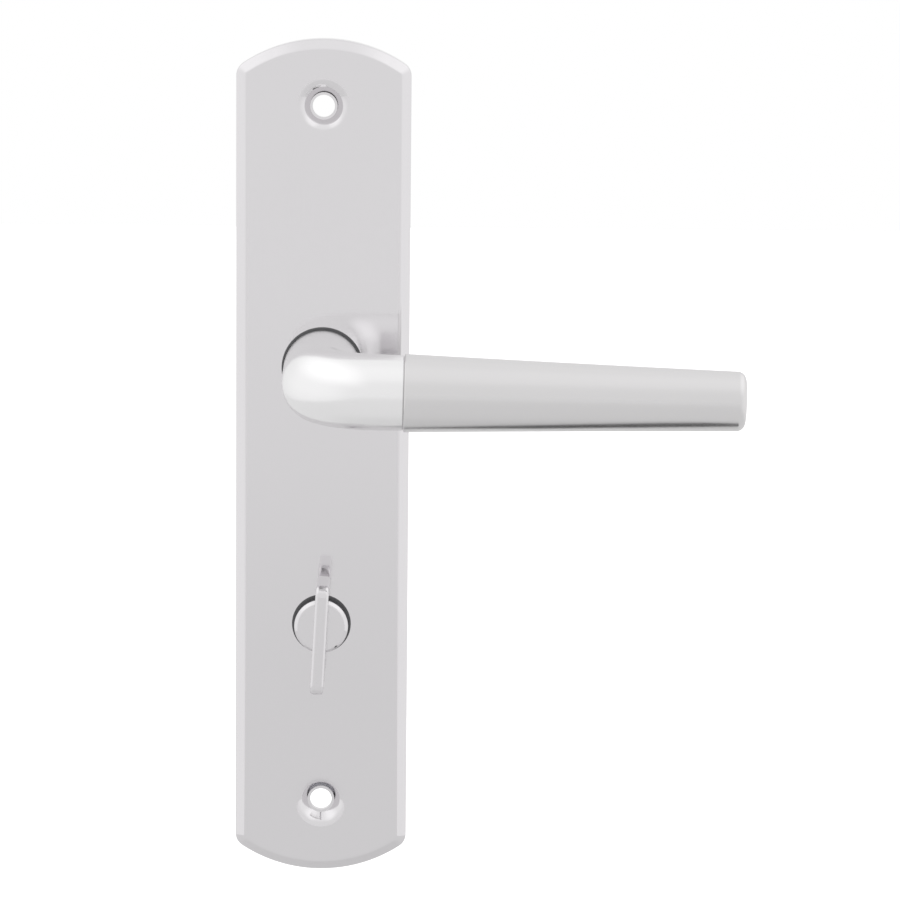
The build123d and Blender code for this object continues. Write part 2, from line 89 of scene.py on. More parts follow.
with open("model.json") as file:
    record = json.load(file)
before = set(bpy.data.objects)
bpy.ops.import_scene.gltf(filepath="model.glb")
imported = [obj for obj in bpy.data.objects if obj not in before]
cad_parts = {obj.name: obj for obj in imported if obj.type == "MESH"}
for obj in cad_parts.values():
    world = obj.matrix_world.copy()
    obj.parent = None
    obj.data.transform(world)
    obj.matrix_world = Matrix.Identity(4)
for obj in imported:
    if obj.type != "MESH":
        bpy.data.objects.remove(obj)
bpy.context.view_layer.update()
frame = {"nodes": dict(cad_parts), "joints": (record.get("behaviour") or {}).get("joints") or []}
plate_low, plate_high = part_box("backplate")
bush_low, bush_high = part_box("lever_bush")
turn_bush_low, turn_bush_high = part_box("turn_bush")
turn_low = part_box("turn_knob")[0]
joints = {joint["name"]: joint for joint in frame["joints"]}
turn_drop = -joints["thumb_turn"]["pos_m"][2]


def length(name, description, default):
    """A size in metres that a user can change."""
    return FloatProperty(name=name, description=description, default=default, unit="LENGTH", precision=5)


def angle(name, description, degrees):
    """An angle that a user can change."""
    return FloatProperty(name=name, description=description, default=radians(degrees), unit="ROTATION")


def shade(name, description, rgb):
    """A linear colour that a user can change."""
    return FloatVectorProperty(name=name, description=description, default=rgb, subtype="COLOR", min=0, max=1)


def share(name, description, default):
    """A plain number that a user can change."""
    return FloatProperty(name=name, description=description, default=default)


class HandleSizes(PropertyGroup):
    """Sizes of the pieces, in metres."""

    plate_wall: length("Plate wall", "Sheet thickness of the hollow plate", 1.4 * MM)
    end_arc_radius: length("End arc radius", "Radius of the plate's arched ends", 40 * MM)
    corner_radius: length("Corner radius", "Rounding where the plate's sides meet its arches", 4 * MM)
    bevel_width: length("Bevel width", "Width of the plate's bevelled border", 2.7 * MM)
    bevel_drop: length("Bevel drop", "How far the border falls back from the panel", 2.1 * MM)
    bevel_outer_round: length("Outer rounding", "Radius between border and side wall", 1.3 * MM)
    bevel_inner_round: length("Inner rounding", "Radius between border and panel", 1.8 * MM)
    screw_spacing: length("Screw spacing", "Distance between the two screw holes", 195 * MM)
    top_margin: length("Top margin", "From the upper screw hole to the plate's end", 18.3 * MM)
    screw_hole_radius: length("Screw hole radius", "Radius of each screw hole", 3.05 * MM)
    dimple_radius: length("Dimple radius", "Radius of the pressed dimple round each screw hole", 6.2 * MM)
    dimple_seat_radius: length("Seat radius", "Radius where a dimple's cone ends", 3.75 * MM)
    dimple_lip: length("Dimple lip", "Reach of the rounding of a dimple's lip", 1.4 * MM)
    tray_front: length("Tray front", "Height of the support plate's front", 3.6 * MM)
    journal_radius: length("Journal radius", "Radius of the lever's journal", 8 * MM)
    journal_flats: length("Journal flats", "Width of the journal across its two flats", 14.4 * MM)
    journal_end: length("Journal end", "Height of the rear ends of journal and shank", 0.4 * MM)
    flats_height: length("Flats height", "Height up to which the lever's journal is flattened", 5.85 * MM)
    turn_flats_height: length(
        "Turn flats height", "Height up to which the turn's shank is flattened", 5.65 * MM
    )
    groove_rear: length("Groove rear", "Height of the ring grooves' rear wall", 0.45 * MM)
    groove_front: length("Groove front", "Height of the ring grooves' front wall", 1.25 * MM)
    groove_bite: length("Groove bite", "Depth of the lever's ring groove", 0.9 * MM)
    turn_groove_bite: length("Turn groove bite", "Depth of the thumb-turn's ring groove", 0.7 * MM)
    running_gap: length("Running gap", "Gap round turning and fitted pieces", 0.05 * MM)
    bush_wall: length("Bush wall", "Wall of the lever's bush", 1.6 * MM)
    turn_bush_wall: length("Turn bush wall", "Wall of the thumb-turn's bush", 1.3 * MM)
    neck_radius: length("Neck radius", "Radius of the lever's tube at its foot", 10.7 * MM)
    neck_joint_radius: length("Joint radius", "Radius of the lever's tube at the joint", 10 * MM)
    elbow_radius: length("Elbow radius", "Bend radius at the middle of the tube", 16 * MM)
    arm_height: length("Arm height", "Distance from the door face to the middle of the arm", 54 * MM)
    arm_sag: angle("Arm sag", "How far the arm hangs below level", 1)
    joint_reach: length("Joint reach", "Distance along the arm from the lever's axis to the joint", 22.5 * MM)
    joint_chamfer: length("Joint chamfer", "Chamfer on both sides of the joint line", 0.3 * MM)
    tip_reach: length("Tip reach", "Distance along the arm from the lever's axis to the tip", 113 * MM)
    grip_root_radius: length("Grip root radius", "Radius of the grip at its joint", 10.4 * MM)
    grip_middle_height: length("Grip middle height", "Height of the grip halfway along", 18.1 * MM)
    grip_middle_depth: length("Grip middle depth", "Depth of the grip halfway along", 17 * MM)
    grip_tip_height: length("Grip tip height", "Height of the grip at its tip", 15.8 * MM)
    grip_tip_depth: length("Grip tip depth", "Depth of the grip at its tip", 13.6 * MM)
    grip_tip_round: length("Grip tip rounding", "Rounding of the grip's free end", 2.2 * MM)
    spindle_across: length("Lever spindle", "Width of the lever's square spindle", 8 * MM)
    spindle_seat: length("Spindle seat", "Height that the lever's spindle reaches inside the neck", 32 * MM)
    set_screw_radius: length("Set screw radius", "Radius of the set screw under the neck", 2.5 * MM)
    set_screw_height: length("Set screw height", "Distance of the set screw from the door face", 20 * MM)
    turn_boss_radius: length("Boss radius", "Radius of the thumb-turn's boss", 7.5 * MM)
    turn_boss_height: length("Boss height", "Height of the thumb-turn's boss", 4.4 * MM)
    turn_boss_chamfer: length("Boss chamfer", "Bevel of the boss's rim", 0.9 * MM)
    turn_shank_radius: length("Shank radius", "Radius of the thumb-turn's shank", 5.6 * MM)
    turn_shank_flats: length("Shank flats", "Width of the shank across its two flats", 10.2 * MM)
    turn_spindle_across: length("Turn spindle", "Width of the thumb-turn's square spindle", 6 * MM)
    turn_socket_wall: length("Turn socket wall", "Metal left in front of the thumb-turn's spindle", 0.6 * MM)
    turn_pin_radius: length("Turn pin radius", "Radius of the cross pin through the boss", 1.25 * MM)
    wing_length: length("Wing length", "Length of the thumb-turn's wing", 30.5 * MM)
    wing_thickness: length("Wing thickness", "Thickness of the wing", 3.6 * MM)
    wing_flare: length("Wing flare", "How far the wing's shoulders stand in front of the boss", 2 * MM)
    wing_rear_round: length("Wing rear rounding", "Corner rounding next to the plate", 4 * MM)
    wing_front_round: length("Wing front rounding", "Corner rounding at the front", 3 * MM)
    wing_edge_round: length("Wing edge rounding", "Rounding of the wing's long edges", 0.9 * MM)
    wing_lean: angle("Wing lean", "How far the wing stands off upright", 3)
    edge_break: length("Edge break", "Tiny rounding of turned edges", 0.15 * MM)


class HandleFinishes(PropertyGroup):
    """Colours and surface finishes."""

    satin_nickel: shade("Satin nickel", "Plate and thumb-turn", (0.76, 0.745, 0.76))
    grip_nickel: shade("Brushed nickel", "Grip of the lever", (0.73, 0.72, 0.725))
    bright_nickel: shade("Bright nickel", "Polished elbow", (0.9, 0.895, 0.9))
    bush_dark: shade("Bush plastic", "Dark moulded bearing bushes", (0.17, 0.17, 0.175))
    zinc: shade("Zinc plating", "Plated sheet steel behind the plate", (0.6, 0.615, 0.64))
    steel: shade("Drawn steel", "Square spindles, pin and stud", (0.52, 0.52, 0.53))
    spring: shade("Spring steel", "Springs and retaining rings", (0.3, 0.31, 0.34))
    black_oxide: shade("Black oxide", "Set screw", (0.05, 0.05, 0.055))
    plate_roughness: share("Plate roughness", "Roughness of the plate's satin finish", 0.08)
    grip_roughness: share("Grip roughness", "Roughness of the brushed grip", 0.25)
    elbow_roughness: share("Elbow roughness", "Roughness of the polished elbow", 0.2)


class StudioSettings(PropertyGroup):
    """Camera, light, floor and dark card."""

    distance: length("Camera distance", "From the camera to the point that it looks at", 1050 * MM)
    target_x: length("Target X", "Point that the camera looks at, along the lever", 35.55 * MM)
    target_z: length("Target Z", "Point that the camera looks at, up the plate", -23.91 * MM)
    azimuth: angle("Azimuth", "Camera's turn about the vertical", 0.7271)
    elevation: angle("Elevation", "Camera's height above level", 8.8193)
    roll: angle("Roll", "Camera's tilt about its own axis", 0.5506)
    lens: FloatProperty(name="Lens", description="Focal length in millimetres", default=150.24)
    floor_gap: length("Floor gap", "How far the floor lies below the plate", 200 * MM)
    floor_width: length("Floor width", "Size of the floor along the lever", 1.4)
    floor_depth: length("Floor depth", "Size of the floor towards the hand", 8)
    floor_lift: share("Floor lift", "Light added to the floor where the camera sees it", 0.5)
    sky_up: share("Light from above", "Brightness of the studio overhead", 0.96)
    sky_level: share("Light from ahead", "Brightness of the studio at eye level", 0.885)
    sky_down: share("Light from below", "Brightness of the studio underfoot", 0.75)
    sky_aside: share("Light from the sides", "Brightness that the studio's sides add", 0.1)
    sky_corner: share("Light from the corners", "Brightness that the studio's upper corners add", 0.2)
    card_x: length("Card X", "Middle of the dark card under the grip, along the lever", 74 * MM)
    card_forward: length("Card forward", "Distance of the card's middle in front of the door", 28 * MM)
    card_drop: length("Card drop", "How far the card lies below the lever's axis", 110 * MM)
    card_length: length("Card length", "Long side of the dark card", 135 * MM)
    card_breadth: length("Card breadth", "Short side of the dark card", 38 * MM)
    card_turn: angle("Card turn", "How far the card is turned off the lever, seen from above", -38)
    card_colour: shade("Card colour", "Dark card that draws a line under the grip", (0.03, 0.03, 0.03))
    key_size: length("Key light size", "Width of the soft lamp overhead", 0.7)
    key_power: share("Key light power", "Power of the soft lamp in watts", 0.05)
    round_segments: IntProperty(name="Round segments", description="Sides of a round piece", default=96)


def sizes():
    """The scene's sizes."""
    return bpy.context.scene.handle_sizes


def finishes():
    """The scene's colours."""
    return bpy.context.scene.handle_finishes


def studio():
    """The scene's camera and light settings."""
    return bpy.context.scene.handle_studio


# Node groups and materials


def add_node(tree, kind, sockets=None, **settings):
    """A node with its plain settings, and values for inputs that nothing feeds."""
    node = tree.nodes.new(kind)
    for name, value in settings.items():
        setattr(node, name, value)
    for socket, value in (sockets or {}).items():
        node.inputs[socket].default_value = value
    return node


def wire(tree, *links):
    """Links, each given as a node and its output, then a node and its input."""
    for giver, output, taker, socket in links:
        tree.links.new(giver.outputs[output], taker.inputs[socket])


def new_group(name, takes, gives):
    """A node group, and the nodes that stand for its named inputs and outputs."""
    group = bpy.data.node_groups.new(name, "ShaderNodeTree")
    for in_out, sockets in (("INPUT", takes), ("OUTPUT", gives)):
        for socket, kind in sockets.items():
            group.interface.new_socket(socket, in_out=in_out, socket_type=f"NodeSocket{kind}")
    return group, add_node(group, "NodeGroupInput"), add_node(group, "NodeGroupOutput")


def brushed_group():
    """Fine lines: a roughness that follows them, and their height for a bump."""
    name = "brushed_lines"
    if name in bpy.data.node_groups:
        return bpy.data.node_groups[name]
    takes = {"Stretch": "Vector", "Base": "Float", "Spread": "Float"}
    group, given, out = new_group(name, takes, {"Roughness": "Float", "Height": "Float"})
    place = add_node(group, "ShaderNodeTexCoord")
    stretch = add_node(group, "ShaderNodeVectorMath", operation="MULTIPLY")
    lines = add_node(group, "ShaderNodeTexNoise", {"Scale": 1, "Detail": 5, "Roughness": 0.6})
    vary = add_node(group, "ShaderNodeMath", {1: NOISE_MIDDLE}, operation="SUBTRACT")
    scaled = add_node(group, "ShaderNodeMath", operation="MULTIPLY_ADD")
    wire(
        group,
        (place, "Object", stretch, 0),
        (given, "Stretch", stretch, 1),
        (stretch, "Vector", lines, "Vector"),
        (lines, "Fac", vary, 0),
        (vary, "Value", scaled, 0),
        (given, "Spread", scaled, 1),
        (given, "Base", scaled, 2),
        (scaled, "Value", out, "Roughness"),
        (lines, "Fac", out, "Height"),
    )
    return group


def cloud_group():
    """Soft cloudy variation of a colour, as plating has over a hand's width."""
    name = "plating_clouds"
    if name in bpy.data.node_groups:
        return bpy.data.node_groups[name]
    takes = {"Tint": "Color", "Scale": "Float", "Amount": "Float"}
    group, given, out = new_group(name, takes, {"Colour": "Color"})
    place = add_node(group, "ShaderNodeTexCoord")
    clouds = add_node(group, "ShaderNodeTexNoise", {"Detail": 3})
    low = add_node(group, "ShaderNodeMath", {1: NOISE_MIDDLE}, operation="SUBTRACT")
    amount = add_node(group, "ShaderNodeMath", {2: 1}, operation="MULTIPLY_ADD")
    tint = add_node(group, "ShaderNodeVectorMath", operation="SCALE")
    wire(
        group,
        (place, "Object", clouds, "Vector"),
        (given, "Scale", clouds, "Scale"),
        (clouds, "Fac", low, 0),
        (low, "Value", amount, 0),
        (given, "Amount", amount, 1),
        (given, "Tint", tint, 0),
        (amount, "Value", tint, "Scale"),
        (tint, "Vector", out, "Colour"),
    )
    return group


def new_material(name):
    """A material with nodes, its tree and its shader."""
    material = bpy.data.materials.new(name)
    material.use_nodes = True
    tree = material.node_tree
    return material, tree, tree.nodes["Principled BSDF"]


def surface(name, colour, roughness, stretch, spread, depth, clouds, metallic=1):
    """A finished material: cloudy colour, fine lines in its height and a roughness that follows them.

    Stretch is how close the lines lie along X, Y and Z, spread how far the roughness strays, depth
    the height of the lines, and clouds the fineness and the strength of the colour's clouds.
    """
    if name in bpy.data.materials:
        return bpy.data.materials[name]
    material, tree, shader = new_material(name)
    shader.inputs["Metallic"].default_value = metallic
    fineness, strength = clouds
    cloudy = {"Tint": (*colour, 1), "Scale": fineness, "Amount": strength}
    tinted = add_node(tree, "ShaderNodeGroup", cloudy, node_tree=cloud_group())
    brushed = {"Stretch": stretch, "Base": roughness, "Spread": spread}
    lines = add_node(tree, "ShaderNodeGroup", brushed, node_tree=brushed_group())
    bump = add_node(tree, "ShaderNodeBump", {"Distance": depth})
    wire(
        tree,
        (tinted, "Colour", shader, "Base Color"),
        (lines, "Roughness", shader, "Roughness"),
        (lines, "Height", bump, "Height"),
        (bump, "Normal", shader, "Normal"),
    )
    return material


def satin_nickel():
    """Satin plate: nearly a mirror, with faint lines up and down."""
    look = finishes()
    return surface(
        "satin_nickel", look.satin_nickel, look.plate_roughness,
        stretch=(2600, 2600, 60), spread=0.05, depth=0.0006 * MM, clouds=(14, 0.03),
    )


def brushed_nickel():
    """Brushed grip, with its lines along the arm."""
    look = finishes()
    return surface(
        "brushed_nickel", look.grip_nickel, look.grip_roughness,
        stretch=(90, 3200, 3200), spread=0.1, depth=0.001 * MM, clouds=(20, 0.03),
    )


def bright_nickel():
    """Polished elbow."""
    look = finishes()
    return surface(
        "bright_nickel", look.bright_nickel, look.elbow_roughness,
        stretch=(900, 900, 900), spread=0.02, depth=0.0001 * MM, clouds=(30, 0.01),
    )


def bush_plastic():
    """Dark moulded bearing plastic."""
    return surface(
        "bush_plastic", finishes().bush_dark, roughness=0.5,
        stretch=(1500, 1500, 1500), spread=0.15, depth=0.01 * MM, clouds=(60, 0.1), metallic=0,
    )


def zinc_plate():
    """Zinc-plated sheet behind the plate."""
    return surface(
        "zinc_plate", finishes().zinc, roughness=0.32,
        stretch=(260, 260, 260), spread=0.2, depth=0.004 * MM, clouds=(45, 0.16),
    )


def drawn_steel():
    """Cold-drawn bar, with lines along it."""
    return surface(
        "drawn_steel", finishes().steel, roughness=0.3,
        stretch=(2400, 60, 2400), spread=0.18, depth=0.004 * MM, clouds=(35, 0.12),
    )


def spring_steel():
    """Tempered strip."""
    return surface(
        "spring_steel", finishes().spring, roughness=0.28,
        stretch=(500, 500, 500), spread=0.12, depth=0.002 * MM, clouds=(60, 0.14),
    )


def black_oxide():
    """Blackened grub screw."""
    return surface(
        "black_oxide", finishes().black_oxide, roughness=0.38,
        stretch=(1200, 1200, 1200), spread=0.15, depth=0.003 * MM, clouds=(90, 0.2),
    )


# Mesh helpers


def only_verts(geometry):
    """The vertices in an operator's result."""
    return [item for item in geometry if isinstance(item, bmesh.types.BMVert)]


def ring_edges(verts):
    """The edges that join a ring's own vertices, each once, in the order of the vertices."""
    chosen = set(verts)
    joining = (edge for vert in verts for edge in vert.link_edges if edge.other_vert(vert) in chosen)
    return list(dict.fromkeys(joining))


def middle_of(verts):
    """The middle of some vertices."""
    return sum((vert.co for vert in verts), Vector()) / len(verts)


def facing_hand(height, drop=0):
    """Frame whose Z faces the hand, at a height and a drop below the lever's axis."""
    return Matrix.Translation((0, -height, -drop)) @ Matrix.Rotation(pi / 2, 4, "X")


def new_ring(bm, radius, placed):
    """A ring of edges in the XY plane of a frame."""
    segments = studio().round_segments
    made = bmesh.ops.create_circle(bm, cap_ends=False, radius=radius, segments=segments, matrix=placed)
    return made["verts"]


def carry_ring(bm, verts, matrix, grow=1.0):
    """Extrudes a ring, moves the new one by a matrix and scales it about its middle."""
    made = bmesh.ops.extrude_edge_only(bm, edges=ring_edges(verts))
    moved = only_verts(made["geom"])
    bmesh.ops.transform(bm, matrix=matrix, verts=moved)
    around = Matrix.Translation(-middle_of(moved))
    bmesh.ops.scale(bm, vec=(grow, grow, grow), space=around, verts=moved)
    return moved


def turn_profile(bm, verts, profile):
    """Takes a ring that faces the hand through radii and heights, as on a lathe."""
    for radius, height in profile:
        middle = middle_of(verts)
        grow = radius / (verts[0].co - middle).length
        verts = carry_ring(bm, verts, Matrix.Translation((0, -height - middle.y, 0)), grow)
    return verts


def rounded(start, corner, end, reach, steps=ROUND_STEPS):
    """Points that round a corner of a profile, by a reach along both of its lines."""
    middle = Vector(corner)
    leave = middle + (Vector(start) - middle).normalized() * reach
    join = middle + (Vector(end) - middle).normalized() * reach
    shares = [step / steps for step in range(steps + 1)]
    return [tuple(leave.lerp(middle, along).lerp(middle.lerp(join, along), along)) for along in shares]


def cap(bm, verts):
    """Closes a ring with one face."""
    bmesh.ops.contextual_create(bm, geom=ring_edges(verts))


def bridge(bm, first, second):
    """Joins two rings with a band of faces."""
    bmesh.ops.bridge_loops(bm, edges=ring_edges(first) + ring_edges(second))


def fill_between(bm, rings):
    """Fills the flat space between an outer ring and the rings inside it."""
    edges = [edge for ring in rings for edge in ring_edges(ring)]
    bmesh.ops.triangle_fill(bm, use_beauty=True, use_dissolve=False, edges=edges)


def closed_mesh(bm, name):
    """Merges, turns outwards and writes out a bmesh."""
    bmesh.ops.remove_doubles(bm, verts=bm.verts, dist=MERGE_WITHIN)
    bmesh.ops.recalc_face_normals(bm, faces=bm.faces)
    mesh = bpy.data.meshes.new(name)
    bm.to_mesh(mesh)
    bm.free()
    return mesh


def new_object(name, data):
    """An object in the scene."""
    made = bpy.data.objects.new(name, data)
    bpy.context.scene.collection.objects.link(made)
    return made


def combine(piece, bm, operation):
    """Cuts a piece with a second shape, or joins it on, and applies the result."""
    tool = new_object("tool", closed_mesh(bm, "tool"))
    step = piece.modifiers.new("combined", "BOOLEAN")
    step.object = tool
    step.operation = operation
    step.solver = "EXACT"
    seen = bpy.context.evaluated_depsgraph_get()
    result = bpy.data.meshes.new_from_object(piece.evaluated_get(seen))
    piece.modifiers.clear()
    piece.data = result
    bpy.data.objects.remove(tool)


def start_piece(bm, name):
    """A piece from a bmesh."""
    return new_object(name, closed_mesh(bm, name))


def finish_piece(piece, material, body, nodes):
    """Shades a piece, gives it its material and body, and hides the CAD nodes it stands for."""
    mesh = piece.data
    mesh.shade_smooth()
    mesh.set_sharp_from_angle(angle=SHARP_ANGLE)
    mesh.materials.clear()
    mesh.materials.append(material)
    weighted = piece.modifiers.new("weighted_normals", "WEIGHTED_NORMAL")
    weighted.keep_sharp = True
    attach(piece, body)
    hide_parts(*nodes)


def box_cutter(bm, low, high):
    """A box between two corners, to cut with."""
    low, high = Vector(low), Vector(high)
    placed = Matrix.Translation((low + high) / 2) @ Matrix.Diagonal((*(high - low), 1))
    bmesh.ops.create_cube(bm, size=1, matrix=placed)


def bore_cutter(bm, radius, low_z, high_z, height):
    """An upright bar that drills straight up and down at a height."""
    placed = Matrix.Translation((0, -height, (low_z + high_z) / 2))
    bmesh.ops.create_cone(
        bm, cap_ends=True, radius1=radius, radius2=radius, depth=high_z - low_z, segments=DRILL_SIDES,
        matrix=placed,
    )


def keyed_cutter(radius, flats, flats_height, socket, socket_height, drop):
    """Cutting shape for the two flats and the square socket of a journal."""
    clear = radius * CUT_PAST
    bm = bmesh.new()
    for side in (-1, 1):
        near, far = side * flats / 2, side * (radius + clear)
        low = (min(near, far), -flats_height, -drop - radius - clear)
        high = (max(near, far), clear, -drop + radius + clear)
        box_cutter(bm, low, high)
    half = socket / 2
    box_cutter(bm, (-half, -socket_height, -drop - half), (half, clear, -drop + half))
    return bm


def journal_profile(radius, bite, shoulder, outer):
    """Radii and heights of a journal with its ring groove, and of the shoulder in front of it."""
    size = sizes()
    waist, edge = radius - bite, size.edge_break
    return [
        (radius, size.groove_rear), (waist, size.groove_rear), (waist, size.groove_front),
        (radius, size.groove_front), (radius, shoulder), (outer - edge, shoulder), (outer, shoulder + edge),
    ]


def dress(nodes, material):
    """Gives carried-over CAD nodes their material."""
    for name in nodes:
        mesh = frame["nodes"][name].data
        mesh.materials.clear()
        mesh.materials.append(material)


# Plate


def plate_ring(bm, inset, height):
    """The plate's outline, drawn in by an inset: straight sides, arched ends, rounded corners."""
    size = sizes()
    half = plate_high.x - inset
    arc = size.end_arc_radius - inset
    corner = size.corner_radius - min(inset, size.corner_radius / 2)
    lean = asin((half - corner) / (arc - corner))
    rise = (arc - corner) * cos(lean)
    verts, ends = [], []
    arc_centres = ((1, plate_high.z - size.end_arc_radius), (-1, plate_low.z + size.end_arc_radius))
    for end, arc_centre in arc_centres:
        corner_centre = arc_centre + end * rise
        first = last = bm.verts.new((end * half, -height, corner_centre))
        verts.append(first)
        turns = (
            (end * (half - corner), corner_centre, pi / 2 - lean, CORNER_STEPS),
            (0, arc_centre, 2 * lean, END_ARC_STEPS),
            (end * (corner - half), corner_centre, pi / 2 - lean, CORNER_STEPS),
        )
        for x, z, sweep, steps in turns:
            for step in range(steps):
                made = bmesh.ops.extrude_vert_indiv(bm, verts=[last])["verts"]
                turned = Matrix.Rotation(sweep / steps, 3, (0, -1, 0))
                bmesh.ops.rotate(bm, cent=(x, -height, z), matrix=turned, verts=made)
                last = made[0]
                verts.append(last)
        ends.append((first, last))
    bm.edges.new((ends[0][1], ends[1][0]))
    bm.edges.new((ends[1][1], ends[0][0]))
    return verts


def border_profile():
    """Insets and heights from the back rim up the side wall and over the bevel to the panel."""
    size = sizes()
    depth = -plate_low.y
    foot = depth - size.bevel_drop
    slope = atan2(size.bevel_drop, size.bevel_width)
    outer_reach = size.bevel_outer_round * tan((pi / 2 - slope) / 2)
    inner_reach = size.bevel_inner_round * tan(slope / 2)
    outer = rounded((0, 0), (0, foot), (size.bevel_width, depth), outer_reach)
    inner = rounded((0, foot), (size.bevel_width, depth), (2 * size.bevel_width, depth), inner_reach)
    return [(0, 0), *outer, *inner]


class HANDLE_OT_backplate(Operator):
    """Hollow arched plate with a bevelled border, two dimpled screw holes and two bearing holes"""

    bl_idname = "handle.backplate"
    bl_label = "Backplate"

    def execute(self, context):
        size = sizes()
        depth, wall = -plate_low.y, size.plate_wall
        inner_floor = depth - wall
        step_height = depth - size.bevel_drop - wall / 2
        pocket = wall + size.bevel_width
        hollow = [(pocket, inner_floor), (pocket, step_height), (wall, step_height), (wall, 0)]
        insets, heights = zip(*hollow, *border_profile())
        bm = bmesh.new()
        # The rings are bridged while they stand apart, because some of them end up in one plane
        rings = [plate_ring(bm, inset, place * MM) for place, inset in enumerate(insets)]
        for first, second in zip(rings, rings[1:]):
            bridge(bm, first, second)
        for place, (ring, height) in enumerate(zip(rings, heights)):
            bmesh.ops.translate(bm, vec=(0, place * MM - height, 0), verts=ring)
        front_rings, floor_rings = [rings[-1]], [rings[0]]
        lever_hole = size.journal_radius + 2 * size.running_gap + size.bush_wall
        turn_hole = size.turn_shank_radius + 2 * size.running_gap + size.turn_bush_wall
        for radius, drop in ((lever_hole, 0), (turn_hole, turn_drop)):
            rear = new_ring(bm, radius, facing_hand(inner_floor, drop))
            floor_rings.append(rear)
            front_rings.append(turn_profile(bm, rear, [(radius, depth)]))
        upper_screw = plate_high.z - size.top_margin
        for rise in (upper_screw, upper_screw - size.screw_spacing):
            front, rear = self.dimple(bm, rise, depth, inner_floor)
            front_rings.append(front)
            floor_rings.append(rear)
        fill_between(bm, front_rings)
        fill_between(bm, floor_rings)
        plate = start_piece(bm, "arched_backplate")
        finish_piece(plate, satin_nickel(), "base", ["backplate"])
        return {"FINISHED"}

    def dimple(self, bm, rise, depth, inner_floor):
        """A pressed dimple with its screw hole, from the panel to the floor of the hollow."""
        size = sizes()
        seat_height = depth - size.dimple_radius + size.dimple_seat_radius
        seat = (size.dimple_seat_radius, seat_height)
        lip = rounded((2 * size.dimple_radius, depth), (size.dimple_radius, depth), seat, size.dimple_lip)
        boss = size.dimple_radius + size.plate_wall / 2
        front = new_ring(bm, lip[0][0], facing_hand(depth, -rise))
        hole = [(size.screw_hole_radius, seat_height), (size.screw_hole_radius, size.tray_front)]
        rear = turn_profile(bm, front, [*lip[1:], seat, *hole, (boss, size.tray_front), (boss, inner_floor)])
        return front, rear


# Bearing bushes


def flanged_bush(name, bore, wall, low, high, drop):
    """Plastic bush: a thin flange with a rounded rim on the plate, and a sleeve through it."""
    flange_radius = (high.x - low.x) / 2
    flange_top, tail, plate_front = -low.y, -high.y, -plate_low.y
    flange_round = (flange_top - plate_front) / 2
    corner = rounded((0, flange_top), (flange_radius, flange_top), (flange_radius, 0), flange_round)
    bm = bmesh.new()
    first = new_ring(bm, bore, facing_hand(flange_top, drop))
    sleeve = [(flange_radius, plate_front), (bore + wall, plate_front), (bore + wall, tail), (bore, tail)]
    last = turn_profile(bm, first, [*corner, *sleeve])
    bridge(bm, first, last)
    return start_piece(bm, name)


class HANDLE_OT_bushes(Operator):
    """Dark plastic bushes round the lever's journal and the thumb-turn's shank"""

    bl_idname = "handle.bushes"
    bl_label = "Bushes"

    def execute(self, context):
        size = sizes()
        bore = size.journal_radius + size.running_gap
        lever = flanged_bush("dark_lever_bush", bore, size.bush_wall, bush_low, bush_high, 0)
        bore = size.turn_shank_radius + size.running_gap
        turn = flanged_bush(
            "dark_turn_bush", bore, size.turn_bush_wall, turn_bush_low, turn_bush_high, turn_drop
        )
        finish_piece(lever, bush_plastic(), "base", ["lever_bush"])
        finish_piece(turn, bush_plastic(), "base", ["turn_bush"])
        return {"FINISHED"}


# Lever


def arm_frame(reach):
    """Frame on the middle of the arm at a reach along it: X along the arm, -Y towards the hand."""
    size = sizes()
    turned = Matrix.Rotation(size.arm_sag, 4, "Y")
    return turned @ Matrix.Translation((reach, -size.arm_height, 0))


